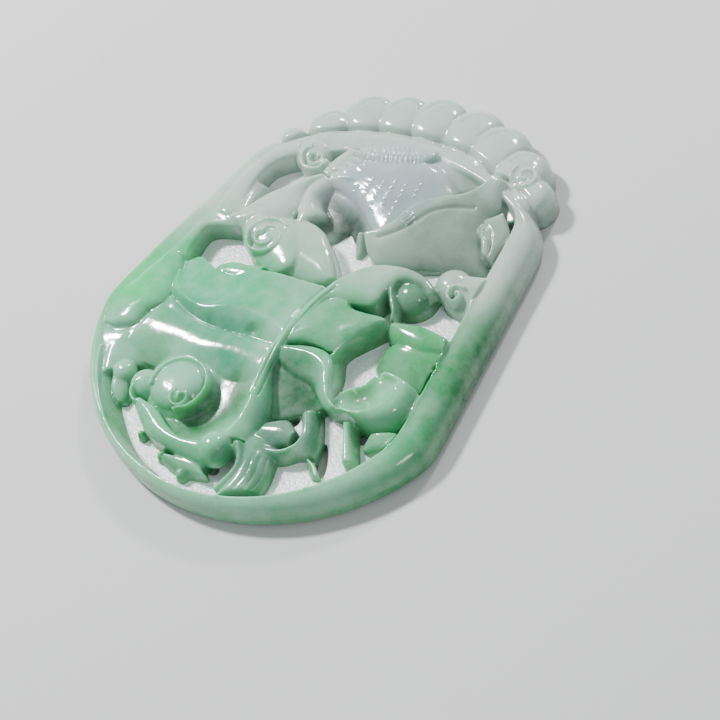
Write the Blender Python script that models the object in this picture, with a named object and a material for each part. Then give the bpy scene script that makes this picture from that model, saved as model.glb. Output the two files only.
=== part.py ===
"""Jade carving: a pierced pendant plaque in deep relief, cut from one stone.

The plaque lies on its flat back with its carved face up and its cloud crest towards +Y.
Sizes below are millimetres; the finished mesh is in metres.
"""
import math

import bmesh
import bpy
import numpy as np
from mathutils import Vector

MM = 0.001

# Overall sizes of the plaque
RIM_HEIGHT = 4.0
RIM_ROLL = 2.6
RIM_EDGE_DROP = 0.25
BACK_ROLL = 1.0
FLOOR_HEIGHT = 1.2
WALL_LEAN = 0.5
LOWER_LEFT = (-26.3, -9.0)
LOWER_RIGHT = (23.2, -12.5)
UPPER_RIGHT = (19.6, 18.6)
UPPER_LEFT = (-22.0, 15.6)
BOTTOM_SAG = 18.3
TOP_SAG = 8.3
CORNER_ROUNDING = 2.4

# Width of the rim, from the outer side to the inner edge
RIM_RIGHT = 3.6
RIM_BOTTOM = 2.3
RIM_LEFT = 3.4
RIM_TOP = 3.6

# The carving's places are read off the photograph on a plane at READ_HEIGHT. A point
# above that plane is drawn shifted by LEAN for each millimetre, and spot() takes this out.
READ_HEIGHT = 5.0
LEAN = (0.696, -0.526)

# Crest of cloud lobes, and the height at which their outline is read
CREST_HEIGHT = 4.2
CREST_OUTLINE = 2.6

# How fine the carving is cut
STATIONS = 14
SECTION_STEPS = 8
GRAIN = 0.42
TRIANGLES_KEPT = 0.088

# Colours and finish of the stone
JADE_COLOUR = (0.33, 0.62, 0.46, 1.0)
JADE_ROUGHNESS = 0.22


def clear_scene():
    for thing in list(bpy.data.objects):
        bpy.data.objects.remove(thing, do_unlink=True)


def spot(x, y, z):
    """True place of a point that is read at x, y and stands z high."""
    return np.array([x + LEAN[0] * (z - READ_HEIGHT), y + LEAN[1] * (z - READ_HEIGHT), z])


def smooth_run(stations, count):
    """A smooth run of values through the given stations."""
    rows = np.array(stations, float)
    if len(rows) == 2:
        share = np.linspace(0.0, 1.0, count)[:, None]
        return rows[0] * (1 - share) + rows[1] * share
    padded = np.vstack([2 * rows[0] - rows[1], rows, 2 * rows[-1] - rows[-2]])
    run = []
    for t in np.linspace(0.0, len(rows) - 1.0, count):
        i = min(int(t), len(rows) - 2)
        u = t - i
        a, b, c, d = padded[i:i + 4]
        run.append(0.5 * (2 * b + (c - a) * u + (2 * a - 5 * b + 4 * c - d) * u ** 2
                          + (3 * b - a - 3 * c + d) * u ** 3))
    return np.array(run)


class Carving:
    """Closed forms gathered into one mesh."""

    def __init__(self):
        self.points = []
        self.faces = []

    def add(self, points, faces):
        start = len(self.points)
        self.points.extend(tuple(p) for p in points)
        self.faces.extend(tuple(start + i for i in face) for face in faces)

    def rings(self, rings):
        """Closed form made of rings of equal length, its two ends filled."""
        count = len(rings[0])
        faces = []
        for row in range(len(rings) - 1):
            for i in range(count):
                j = (i + 1) % count
                faces.append((row * count + i, row * count + j,
                              (row + 1) * count + j, (row + 1) * count + i))
        last = (len(rings) - 1) * count
        points = [p for ring in rings for p in ring]
        points.append(np.mean(rings[0], axis=0))
        points.append(np.mean(rings[-1], axis=0))
        for i in range(count):
            j = (i + 1) % count
            faces.append((j, i, len(points) - 2))
            faces.append((last + i, last + j, len(points) - 1))
        self.add(points, faces)

    def stroke(self, stations, base=0.6, drop=0.45, power=2.0, tilt=0.0, count=STATIONS):
        """Carved stroke: each station is x, y, crest height and half width.

        The top falls by drop of its height towards both edges, along a curve of the given
        power, and tilt raises the right edge and lowers the left one, in millimetres.
        """
        run = smooth_run(stations, count)
        centre = np.array([spot(x, y, z) for x, y, z, _ in run])
        ahead = np.gradient(centre[:, :2], axis=0)
        ahead /= np.linalg.norm(ahead, axis=1)[:, None] + 1e-9
        side = np.c_[ahead[:, 1], -ahead[:, 0]]
        rings = []
        for i in range(count):
            half = max(run[i, 3], 0.12)
            top = run[i, 2]
            ring = []
            for share in np.linspace(-1.0, 1.0, SECTION_STEPS + 1):
                z = top - (top - base) * drop * abs(share) ** power + tilt * share
                place = centre[i, :2] + side[i] * half * share
                ring.append((place[0], place[1], max(z, base + 0.25)))
            for share in (1.0, -1.0):
                place = centre[i, :2] + side[i] * half * share * 0.96
                ring.append((place[0], place[1], base))
            rings.append(ring)
        self.rings(rings)

    def dome(self, x, y, top, radius, base=0.6, stretch=1.0, turn=0.0, steps=16, fullness=2.4,
             read_at=None):
        """Rounded boss with its top at the given height."""
        centre = spot(x, y, top if read_at is None else read_at)
        rings = []
        for level in np.linspace(0.0, 1.0, 7):
            reach = (1.0 - level ** fullness) ** (1.0 / fullness)
            ring = []
            for k in range(steps):
                angle = 2 * math.pi * k / steps
                u = radius * stretch * max(reach, 0.04) * math.cos(angle)
                v = radius * max(reach, 0.04) * math.sin(angle)
                ring.append((centre[0] + u * math.cos(turn) - v * math.sin(turn),
                             centre[1] + u * math.sin(turn) + v * math.cos(turn),
                             base + (top - base) * level))
            rings.append(ring)
        self.rings(rings)

    def curl(self, x, y, height, radius, turns, width, start=0.0, base=0.6):
        """Spiral scroll that winds in towards its eye."""
        stations = []
        steps = max(int(turns * 10), 6)
        for k in range(steps + 1):
            share = k / steps
            angle = start + turns * 2 * math.pi * share
            reach = radius * (1.0 - 0.8 * share)
            stations.append((x + reach * math.cos(angle), y + reach * math.sin(angle),
                             height, width * (1.0 - 0.45 * share)))
        self.stroke(stations, base=base, drop=0.35, count=steps * 2)


def arc_between(a, b, sag, count):
    """Points of the arc from a to b that bulges by sag to the right of that line."""
    a = np.array(a, float)
    b = np.array(b, float)
    half = np.linalg.norm(b - a) / 2
    along = (b - a) / (2 * half)
    out = np.array([along[1], -along[0]])
    radius = (half ** 2 + sag ** 2) / (2 * sag)
    run = []
    for s in np.linspace(-half, half, count, endpoint=False):
        rise = math.sqrt(radius ** 2 - s ** 2) - (radius - sag)
        run.append((a + b) / 2 + along * s + out * rise)
    return run


def straight_between(a, b, count):
    a = np.array(a, float)
    b = np.array(b, float)
    return [a + (b - a) * k / count for k in range(count)]


def outline(inset=(0.0, 0.0, 0.0, 0.0), rounding=CORNER_ROUNDING, per_side=36):
    """Closed outline, anticlockwise, drawn in by inset on its bottom, right, top and left."""
    bottom, right, top, left = inset
    low_left = (LOWER_LEFT[0] + left, LOWER_LEFT[1] + bottom * 0.2)
    low_right = (LOWER_RIGHT[0] - right, LOWER_RIGHT[1] + bottom * 0.2)
    high_right = (UPPER_RIGHT[0] - right, UPPER_RIGHT[1] - top * 0.6)
    high_left = (UPPER_LEFT[0] + left, UPPER_LEFT[1] - top * 0.6)
    points = arc_between(low_left, low_right, BOTTOM_SAG - bottom * 0.8, per_side)
    points += straight_between(low_right, high_right, per_side)
    points += arc_between(high_right, high_left, TOP_SAG - top * 0.4, per_side)
    points += straight_between(high_left, low_left, per_side)
    points = np.array(points)
    closed = np.vstack([points, points[:1]])
    reach = np.r_[0, np.cumsum(np.linalg.norm(np.diff(closed, axis=0), axis=1))]
    count = len(points)
    even = np.linspace(0.0, reach[-1], count * 2, endpoint=False)
    points = np.c_[np.interp(even, reach, closed[:, 0]), np.interp(even, reach, closed[:, 1])]
    passes = int((rounding / (reach[-1] / len(points))) ** 2)
    for _ in range(passes):
        points = (np.roll(points, 1, 0) + 2 * points + np.roll(points, -1, 0)) / 4
    return points[::2]


def plaque(carving):
    """Stone plate with its rolled rim, inner wall and recessed floor."""
    outer = outline()
    inner = outline((RIM_BOTTOM, RIM_RIGHT, RIM_TOP, RIM_LEFT))
    across = inner - outer
    reach = np.linalg.norm(across, axis=1)[:, None]
    inwards = across / reach
    roll = np.minimum(RIM_ROLL, reach * 0.85)
    rings = [np.c_[outer + inwards * BACK_ROLL, np.full(len(outer), -0.6)]]
    for angle in np.linspace(0.0, math.pi / 2, 5):
        step = BACK_ROLL * (1 - math.sin(angle))
        z = BACK_ROLL * (1 - math.cos(angle)) - 0.3
        rings.append(np.c_[outer + inwards * step, np.full(len(outer), z)])
    for angle in np.linspace(0.0, math.pi / 2, 7):
        place = outer + inwards * roll * (1 - math.cos(angle))
        z = RIM_HEIGHT - RIM_ROLL * (1 - math.sin(angle))
        rings.append(np.c_[place, np.full(len(outer), z)])
    rings.append(np.c_[inner, np.full(len(outer), RIM_HEIGHT - RIM_EDGE_DROP)])
    foot = inner + inwards * WALL_LEAN
    rings.append(np.c_[foot, np.full(len(outer), FLOOR_HEIGHT)])
    carving.rings([[tuple(p) for p in ring] for ring in rings])


def crest(carving):
    """Scalloped cloud lobes outside the top of the rim: x, y and radius of each."""
    lobes = ((-16.2, 18.8, 2.1), (-13.1, 21.7, 3.1), (-9.2, 25.0, 3.8), (-5.0, 26.2, 3.9),
             (-0.4, 27.1, 4.2), (4.9, 27.1, 4.1), (9.3, 25.8, 4.3), (14.2, 23.8, 3.9),
             (17.5, 21.0, 3.1))
    for x, y, radius in lobes:
        carving.dome(x, y, CREST_HEIGHT, radius, base=-0.3, fullness=2.2, read_at=CREST_OUTLINE)


def cloud_scrolls(carving):
    """Curls in the crest and along the right side of the rim."""
    carving.curl(14.2, 24.3, CREST_HEIGHT + 0.3, 1.9, 1.4, 0.55, start=2.6)
    carving.stroke([(14, 18.2, 3.8, .5), (15.2, 16.4, 4.1, 1.4), (16, 14, 3.9, 1.5),
                    (16.8, 12, 3.4, .7)])
    carving.dome(15.2, 7.0, 4.6, 2.9, stretch=1.05)
    carving.curl(15.6, 6.2, 4.9, 1.2, 1.2, 0.4, start=1.0)


def upper_left(carving):
    """Curl, pale leaf and smooth field with the ribbed comb."""
    carving.dome(-12.3, 18.0, 4.3, 2.8)
    carving.curl(-12.0, 17.6, 4.5, 2.7, 0.8, 0.7, start=2.2)
    carving.stroke([(-20.2, 6.2, 4.2, .5), (-18.6, 5.2, 4.3, .9), (-16.6, 5.6, 4.3, 1.1),
                    (-14.4, 7.4, 4.6, 2.0), (-13.0, 10, 4.8, 2.3), (-11.6, 12.6, 4.8, 1.9),
                    (-9.6, 14.6, 4.5, 1.0)], drop=0.3)
    carving.stroke([(-8.4, 15.4, 4.5, 1.2), (-8.2, 12.4, 4.8, 1.7), (-7.2, 10.2, 4.6, 1.9),
                    (-5.6, 9.2, 4.0, 1.2)], drop=0.35)
    carving.stroke([(-9, 16.0, 4.2, 1.2), (-4, 16.2, 4.5, 2.6), (0, 15.4, 4.4, 3.6),
                    (3.4, 13.4, 4.0, 3.6)], drop=0.15)
    carving.stroke([(-2, 18.6, 4.3, 2.4), (3, 19.0, 3.9, 3.2), (7, 20.6, 3.2, 2.8),
                    (9.6, 21.8, 2.8, 1.8)], drop=0.1)
    carving.stroke([(-7.8, 17.4, 4.5, .6), (-5, 18.8, 4.9, 1.6), (-2, 20.3, 5.0, 1.7),
                    (.5, 21.6, 4.8, 1.2), (2.2, 22.5, 4.5, .4)], drop=0.3)
    carving.stroke([(-6.4, 12.6, 3.2, 1.0), (-3.6, 11.4, 3.0, 2.2), (0, 9.2, 2.6, 2.2),
                    (1.6, 7.4, 2.2, 1.2)], drop=0.1)


def snail(carving):
    """Snail-like scroll with its body swelling to the right."""
    carving.stroke([(-12.4, 4.6, 4.4, 2.8), (-8.6, 4.0, 5.0, 4.2), (-4.4, 3.6, 4.3, 3.4),
                    (-.8, 3.0, 3.2, 1.8)], drop=0.4)
    carving.curl(-11.4, 4.7, 5.0, 3.0, 1.8, 0.8, start=-1.2)
    carving.stroke([(-18.4, 4.0, 4.0, 1.0), (-15.2, 3.6, 4.0, .9), (-12.6, 2.2, 3.8, .8),
                    (-10.8, 1.6, 3.8, .5)])
    carving.stroke([(-14, -1.2, 4.0, .6), (-12, -.6, 4.2, 1.2), (-9, .6, 4.2, .8)])


def pod(carving):
    """Large pod at the upper right, hung from the rim by its neck."""
    carving.stroke([(11.5, 23.6, 4.2, 1.0), (11.4, 20.8, 4.9, 1.5), (10.0, 17.4, 5.4, 2.8),
                    (7.6, 13.6, 5.2, 4.4), (5.6, 10.4, 4.8, 4.2), (3.4, 8.0, 4.2, 2.0),
                    (1.4, 8.8, 4.2, .5)], drop=0.25, tilt=0.45)
    carving.stroke([(11.2, 16, 4.4, 2.2), (12.6, 12.6, 3.8, 3.4), (15.2, 10.4, 2.8, 2.4),
                    (17.6, 9.6, 2.2, 1.0)], drop=0.25)
    carving.stroke([(13.4, 21.6, 3.0, 1.2), (15.4, 19.8, 2.8, 1.6), (16.6, 18, 2.6, .8)], drop=.1)


def long_stem(carving):
    """Stem from the lower knob up the middle, round the bulb and back."""
    carving.stroke([(2.2, -22.6, 5.3, 1.9), (2.9, -19.4, 5.2, 1.85), (2.6, -16.6, 5.2, 1.7),
                    (1.2, -13.0, 5.2, 1.15), (.1, -9.0, 5.2, .8), (-.3, -5.0, 5.2, .7),
                    (.2, -1.0, 5.2, .75), (1.2, 2.2, 5.0, 1.0), (3.3, 4.8, 4.9, 1.5),
                    (6.2, 6.2, 4.8, 1.4), (9.4, 6.6, 4.7, .9), (12.4, 6.4, 4.5, .7),
                    (14.5, 4.6, 4.2, .5), (14.7, 2.8, 4.0, .4)], base=1.6, count=STATIONS * 3)
    carving.dome(12.2, 3.6, 3.7, 2.6)
    carving.stroke([(2.8, 1.8, 4.2, 1.4), (5.4, 3.6, 4.6, 2.4), (8.0, 5.0, 4.4, 1.6)], drop=.3)
    carving.stroke([(6.2, .4, 4.0, .9), (7.6, 2.2, 4.4, .9), (9.4, 2.0, 4.4, .8),
                    (10.2, .8, 4.1, .6)], base=1.6)
    carving.dome(1.5, -22.9, 5.6, 2.3, base=1.8)
    carving.stroke([(3.0, -21.2, 4.8, 1.0), (4.8, -22.6, 4.4, .9), (5.3, -24.8, 4.0, .9),
                    (5.0, -27.0, 3.6, .8)])
    carving.stroke([(6.2, -18.4, 3.6, 1.4), (7.0, -21.2, 3.9, 2.0), (8.0, -24.0, 3.7, 2.1),
                    (8.6, -26.2, 3.3, 1.9)], drop=.25)


def left_leaves(carving):
    """Two long ridged leaves and the smooth slope below them."""
    carving.stroke([(-18.2, -3.4, 4.5, .4), (-15.4, -4.6, 5.0, 2.2), (-11, -4.4, 5.2, 3.3),
                    (-7, -3.6, 5.3, 4.1), (-3.6, -3.6, 5.2, 4.4), (-.9, -3.4, 5.0, 4.4)],
                   drop=0.28, power=1.5)
    carving.stroke([(-17.6, -10.6, 4.0, 1.8), (-13, -12.2, 4.2, 3.0), (-8, -12.8, 4.2, 3.6),
                    (-3.6, -12.8, 4.2, 4.2), (-.2, -13.2, 4.1, 4.6)], drop=0.12, tilt=-0.8)
    carving.stroke([(-19, -4, 4.3, 1.6), (-20.2, -7.6, 4.7, 2.5), (-21.8, -10.6, 4.8, 2.7),
                    (-22.4, -12.8, 4.3, 1.5)], drop=0.35)
    carving.stroke([(-17, -12.6, 3.6, 2.2), (-16.4, -15.6, 3.0, 2.0), (-15, -17, 2.6, 1.2)],
                   drop=0.2)
    carving.stroke([(-2.6, -15.4, 3.8, 2.6), (-2.2, -18.2, 3.2, 2.8), (-3.6, -21, 3.0, 2.6)],
                   drop=-0.2)


def fungus_scroll(carving):
    """Large scrolled head at the lower left, its lobes and its body."""
    carving.dome(-8.3, -16.9, 5.2, 3.7)
    carving.curl(-8.1, -17.0, 5.5, 3.3, 1.7, 0.6, start=3.4)
    carving.dome(-11.7, -19.3, 4.8, 2.1)
    carving.dome(-3.8, -18.7, 4.4, 1.4)
    carving.stroke([(-11.2, -20.4, 4.2, 1.3), (-8.2, -22.6, 4.2, 1.6), (-4.4, -23.8, 4.2, 1.6),
                    (-1, -23.6, 4.5, 1.5), (1.2, -23.0, 4.8, 1.4)], base=1.0)
    carving.dome(-15.7, -18.5, 3.9, 1.6)
    carving.stroke([(-16.6, -18.6, 3.2, 1.2), (-15, -20.8, 3.0, 1.4), (-13.2, -22.2, 2.6, .8)])
    for x, y, radius in ((-7.5, -25.4, .7), (-3.5, -26.7, .8), (.2, -27.9, .9)):
        carving.dome(x, y, 2.8, radius, steps=10)
    carving.stroke([(-3, -25.8, 3.0, .9), (.4, -26.2, 3.2, 1.4), (3, -26.2, 3.0, 1.0)])


def centre_petals(carving):
    """Leaf, saddle petal and cup petal to the right of the stem."""
    carving.stroke([(1.2, -6.2, 4.8, .8), (3.4, -3.6, 5.2, 2.6), (6.6, -1.6, 5.1, 2.5),
                    (10.2, -.6, 4.6, 1.4)], drop=0.25)
    carving.stroke([(10.8, -1.2, 4.2, 1.0), (9.2, -4.4, 3.8, 1.9), (8.8, -7.8, 3.4, 1.6),
                    (10, -11.2, 3.2, .8)], drop=0.2)
    carving.stroke([(.9, -8.4, 4.6, .6), (3.6, -7.4, 5.0, 1.4), (6.6, -7.9, 5.0, 1.7),
                    (8.4, -10.4, 4.8, 1.4), (10.6, -12.7, 4.4, .9)], base=1.6, drop=.3)
    carving.stroke([(2.4, -10.6, 4.0, 1.5), (4.8, -11.6, 3.4, 2.6), (5.6, -14.4, 2.6, 2.0),
                    (5.4, -16.2, 2.2, 1.0)], drop=-0.1)
    carving.stroke([(10.8, -12.3, 4.2, .9), (13.4, -12.7, 4.4, 1.1), (16.2, -11.6, 4.6, 1.9),
                    (17.4, -9.0, 4.5, 1.9), (15.8, -7.0, 4.3, 1.1), (13.4, -7.0, 4.0, .6)],
                   base=1.8)
    carving.dome(13.4, -9.6, 3.5, 2.9, base=1.4)
    carving.stroke([(12.2, .2, 4.2, .8), (15, -.4, 4.4, 1.3), (18, -1.2, 4.2, 1.3)])
    carving.stroke([(14.6, -1.6, 4.1, 1.2), (13.4, -4.0, 3.9, 1.1), (12.9, -6, 3.5, .6)])
    carving.stroke([(16.6, -2.2, 3.6, 2.0), (17.2, -5.0, 3.0, 1.9)], drop=.2)


def rockwork(carving):
    """Open bars of rockwork at the lower right."""
    bars = (((9.2, -13.4, 3.7, 1.0), (10.4, -16.2, 3.6, 1.1), (12.4, -19.0, 3.4, 1.2)),
            ((9.7, -16.8, 3.7, .7), (8.5, -19.6, 3.7, .8), (6.8, -21.6, 3.7, .8)),
            ((14.0, -13.6, 3.7, .8), (16.0, -16.0, 3.6, .9), (17.3, -18.2, 3.4, .9)),
            ((12.4, -19.4, 3.0, .6), (14.2, -20.6, 3.0, .7)),
            ((17.6, -13.6, 3.2, 1.0), (18.6, -15.2, 3.0, 1.1)),
            ((7.8, -16.9, 3.5, 1.1), (6.0, -18.2, 3.4, 1.2), (5.8, -20.4, 3.2, .9)))
    for bar in bars:
        carving.stroke(bar, drop=0.2, power=3.0, count=8)


def cutters():
    """Piercings that go right through: middle, half length, half width and turn."""
    holes = ((5.0, -13.9, 1.0, .8, -.9), (13.6, -12.2, 1.0, .8, .4),
             (10.7, -16.8, 2.2, .75, -1.06), (-.4, -22.9, 1.2, .8, -.2))
    shape = Carving()
    for x, y, length, width, turn in holes:
        rings = []
        for z in (-3.0, FLOOR_HEIGHT + 0.6):
            ring = []
            for k in range(12):
                angle = 2 * math.pi * k / 12
                u = length * math.cos(angle)
                v = width * math.sin(angle)
                ring.append((x + u * math.cos(turn) - v * math.sin(turn),
                             y + u * math.sin(turn) + v * math.cos(turn), z))
            rings.append(ring)
        shape.rings(rings)
    return shape


def box_middle(carving):
    """Middle of the carving's box in plan, which becomes the part's origin."""
    places = np.array(carving.points)
    middle = (places.min(axis=0) + places.max(axis=0)) / 2
    return Vector((middle[0], middle[1], 0.0))


def make_object(name, carving, middle):
    """Object in metres, centred on middle, with its faces pointing out."""
    mesh = bpy.data.meshes.new(name)
    mesh.from_pydata([(Vector(p) - middle) * MM for p in carving.points], [], carving.faces)
    shape = bmesh.new()
    shape.from_mesh(mesh)
    bmesh.ops.recalc_face_normals(shape, faces=shape.faces)
    shape.to_mesh(mesh)
    shape.free()
    thing = bpy.data.objects.new(name, mesh)
    bpy.context.scene.collection.objects.link(thing)
    return thing


def hide_cutter(thing):
    thing.hide_render = True
    thing.display_type = 'WIRE'


def jade():
    stone = bpy.data.materials.new("jade")
    stone.use_nodes = True
    shader = stone.node_tree.nodes["Principled BSDF"]
    shader.inputs["Base Color"].default_value = JADE_COLOUR
    shader.inputs["Roughness"].default_value = JADE_ROUGHNESS
    shader.inputs["Metallic"].default_value = 0.0
    return stone


def cut_away(thing, cutter, name):
    step = thing.modifiers.new(name, 'BOOLEAN')
    step.operation = 'DIFFERENCE'
    step.solver = 'EXACT'
    step.object = cutter


def flat_bed(carving):
    """Block below the carving, wider than it, that cuts its back flat."""
    reach = np.abs(np.array(carving.points)).max() * 1.5
    bed = Carving()
    rings = []
    for z in (-reach, 0.0):
        rings.append([(x, y, z) for x, y in ((-reach, -reach), (reach, -reach),
                                             (reach, reach), (-reach, reach))])
    bed.rings(rings)
    return bed


def build():
    clear_scene()
    carving = Carving()
    plaque(carving)
    crest(carving)
    for section in (cloud_scrolls, upper_left, snail, pod, long_stem, left_leaves,
                    fungus_scroll, centre_petals, rockwork):
        section(carving)
    middle = box_middle(carving)
    thing = make_object("jade_plaque", carving, middle)
    weld = thing.modifiers.new("one stone", 'REMESH')
    weld.mode = 'VOXEL'
    weld.voxel_size = GRAIN * MM
    thin = thing.modifiers.new("fewer faces", 'DECIMATE')
    thin.ratio = TRIANGLES_KEPT
    for name, shape in (("back_cut", flat_bed(carving)), ("piercings", cutters())):
        cutter = make_object(name, shape, middle)
        hide_cutter(cutter)
        cut_away(thing, cutter, name)
    thing.data.materials.append(jade())
    for face in thing.data.polygons:
        face.use_smooth = True


build()
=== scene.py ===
"""Looks of the jade plaque: its carving cut fine, its stone, the light and the camera."""
import math

import bmesh
import bpy
import numpy as np
from mathutils import Matrix, Quaternion, Vector


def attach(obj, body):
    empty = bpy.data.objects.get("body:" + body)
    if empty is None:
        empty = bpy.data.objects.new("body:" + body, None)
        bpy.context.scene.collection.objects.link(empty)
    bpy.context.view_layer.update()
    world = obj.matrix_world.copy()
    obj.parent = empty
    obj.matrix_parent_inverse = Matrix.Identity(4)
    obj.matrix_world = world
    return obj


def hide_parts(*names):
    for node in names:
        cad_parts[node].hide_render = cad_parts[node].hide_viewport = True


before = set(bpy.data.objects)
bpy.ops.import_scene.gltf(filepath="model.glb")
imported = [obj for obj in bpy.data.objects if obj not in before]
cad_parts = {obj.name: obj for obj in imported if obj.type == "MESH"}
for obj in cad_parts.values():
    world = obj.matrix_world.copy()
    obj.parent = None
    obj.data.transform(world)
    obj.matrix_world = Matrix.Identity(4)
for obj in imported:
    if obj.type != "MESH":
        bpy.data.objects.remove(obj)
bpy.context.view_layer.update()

MM = 0.001

# Middle of the carving in the plan that its places are read in
MIDDLE = (-1.53, 1.78)

# Places are read off the photograph on a plane at READ_HEIGHT; LEAN is how far a point
# is drawn shifted for each millimetre that it stands above that plane.
READ_HEIGHT = 5.0
LEAN = (0.696, -0.526)

# The plate and its rim
RIM_HEIGHT = 4.0
RIM_ROLL = 2.2
ROLL_SWING = 0.5
RIM_EDGE_DROP = 0.25
BACK_ROLL = 1.0
FLOOR_HEIGHT = 1.2
WALL_LEAN = 0.5
LOWER_LEFT = (-26.3, -9.0)
LOWER_RIGHT = (23.2, -12.5)
UPPER_RIGHT = (19.6, 18.6)
UPPER_LEFT = (-21.8, 17.4)
BOTTOM_SAG = 18.3
TOP_SAG = 8.0
CORNER_ROUNDING = 2.4
INNER_LOWER_LEFT = (-23.6, -11.3)
INNER_LOWER_RIGHT = (19.3, -13.0)
INNER_UPPER_RIGHT = (15.9, 19.6)
INNER_UPPER_LEFT = (-18.8, 15.0)
INNER_BOTTOM_SAG = 15.8
INNER_TOP_SAG = 5.6
PLATE_SIDES = 180

# The crest, and its lobes: x, y and radius of each
CREST_HEIGHT = 4.2
CREST_OUTLINE = 2.6
CREST_LOBES = ((-16.5, 18.9, 1.9), (-13.1, 22.1, 3.1), (-9.3, 25.4, 3.8), (-5.0, 26.6, 4.0),
               (-0.5, 27.6, 4.2), (4.9, 27.5, 4.2), (9.2, 26.2, 4.3), (13.7, 24.2, 3.8),
               (16.7, 21.7, 2.9))

# How fine the stone is cut and finished
FINE_GRAIN = 0.14
FACES_KEPT = 190000
FORM_BASE = 0.6
THINNEST_FORM = 0.2
SUNK_UNDERSIDE = 0.3

# Fine cuts stay above CUT_FLOOR, and what comes lower than BED_HEIGHT is laid flat
CUT_FLOOR = 1.6
BED_HEIGHT = 0.12

# Camera, as worked out from the plaque's outline in the photograph
CAMERA_TURN = (2.47398, 0.63594, -0.57813)
CAMERA_REACH = (-0.32855, 0.12787, 7.67351)
CAMERA_UNIT = 30.0
CAMERA_MIDDLE = 0.38
CAMERA_FOCAL = 2000.0
PHOTO_SIZE = 720


def deselect_all():
    bpy.ops.object.select_all(action='DESELECT')


def spot(x, y, z):
    """True place in the plaque's own frame of a point read at x, y and standing z high."""
    return np.array([x + LEAN[0] * (z - READ_HEIGHT) - MIDDLE[0],
                     y + LEAN[1] * (z - READ_HEIGHT) - MIDDLE[1], z])


def smooth_run(stations, count):
    """A smooth run of values through the given stations."""
    rows = np.array(stations, float)
    if len(rows) == 2:
        share = np.linspace(0.0, 1.0, count)[:, None]
        return rows[0] * (1 - share) + rows[1] * share
    padded = np.vstack([2 * rows[0] - rows[1], rows, 2 * rows[-1] - rows[-2]])
    run = []
    for t in np.linspace(0.0, len(rows) - 1.0, count):
        i = min(int(t), len(rows) - 2)
        u = t - i
        a, b, c, d = padded[i:i + 4]
        run.append(0.5 * (2 * b + (c - a) * u + (2 * a - 5 * b + 4 * c - d) * u ** 2
                          + (3 * b - a - 3 * c + d) * u ** 3))
    return np.array(run)


forms = []


def keep_form(thing):
    forms.append(thing)
    return thing


def block_from_sheet(rows, base):
    """Grid whose points are laid on the carved surface, then drawn down to its base."""
    rows = np.array(rows, float)
    down, across = rows.shape[:2]
    deselect_all()
    bpy.ops.mesh.primitive_grid_add(x_subdivisions=across - 1, y_subdivisions=down - 1, size=1)
    thing = bpy.context.object
    thing.data.vertices.foreach_set("co", (rows.reshape(-1, 3) * MM).ravel())
    bpy.ops.object.mode_set(mode='EDIT')
    bpy.ops.mesh.select_all(action='SELECT')
    bpy.ops.mesh.extrude_region_move(TRANSFORM_OT_translate={"value": (0, 0, -MM)})
    bpy.ops.mesh.select_all(action='SELECT')
    bpy.ops.mesh.normals_make_consistent(inside=False)
    bpy.ops.object.mode_set(mode='OBJECT')
    for point in thing.data.vertices[down * across:]:
        point.co.z = base * MM
    return keep_form(thing)


def stroke(stations, base=FORM_BASE, drop=0.45, power=2.0, tilt=0.0, count=26, across=12):
    """Carved stroke: each station is x, y, crest height and half width."""
    run = smooth_run(stations, count)
    centre = np.array([spot(x, y, z) for x, y, z, _ in run])
    ahead = np.gradient(centre[:, :2], axis=0)
    ahead /= np.linalg.norm(ahead, axis=1)[:, None] + 1e-9
    side = np.c_[ahead[:, 1], -ahead[:, 0]]
    rows = []
    for i in range(count):
        half = max(run[i, 3], 0.08)
        row = []
        for share in np.linspace(-1.0, 1.0, across + 1):
            z = run[i, 2] - (run[i, 2] - base) * drop * abs(share) ** power + tilt * share
            place = centre[i, :2] + side[i] * half * share
            row.append((place[0], place[1], max(z, base + THINNEST_FORM)))
        rows.append(row)
    return block_from_sheet(rows, base)


def leaf(one_edge, other_edge, crown=0.3, ridge=0.0, ridge_at=0.3, ridge_width=0.3,
         base=FORM_BASE, count=30, across=16, shoulder=0.3, fall=1.0):
    """Carved surface between two edges, whose points are x, y and height.

    With a fall above 1 the surface keeps the first edge's height longer, then drops.
    """
    one = smooth_run(one_edge, count)
    other = smooth_run(other_edge, count)
    rows = []
    for i in range(count):
        start = spot(*one[i])
        end = spot(*other[i])
        row = []
        for share in np.linspace(0.0, 1.0, across + 1):
            place = start * (1 - share) + end * share
            level = start[2] + (end[2] - start[2]) * share ** fall
            rise = crown * 4 * share * (1 - share)
            rise += ridge * max(0.0, 1 - abs(share - ridge_at) / ridge_width)
            rise -= shoulder * abs(2 * share - 1) ** 8
            row.append((place[0], place[1], max(level + rise, base + THINNEST_FORM)))
        rows.append(row)
    return block_from_sheet(rows, base)


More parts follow.
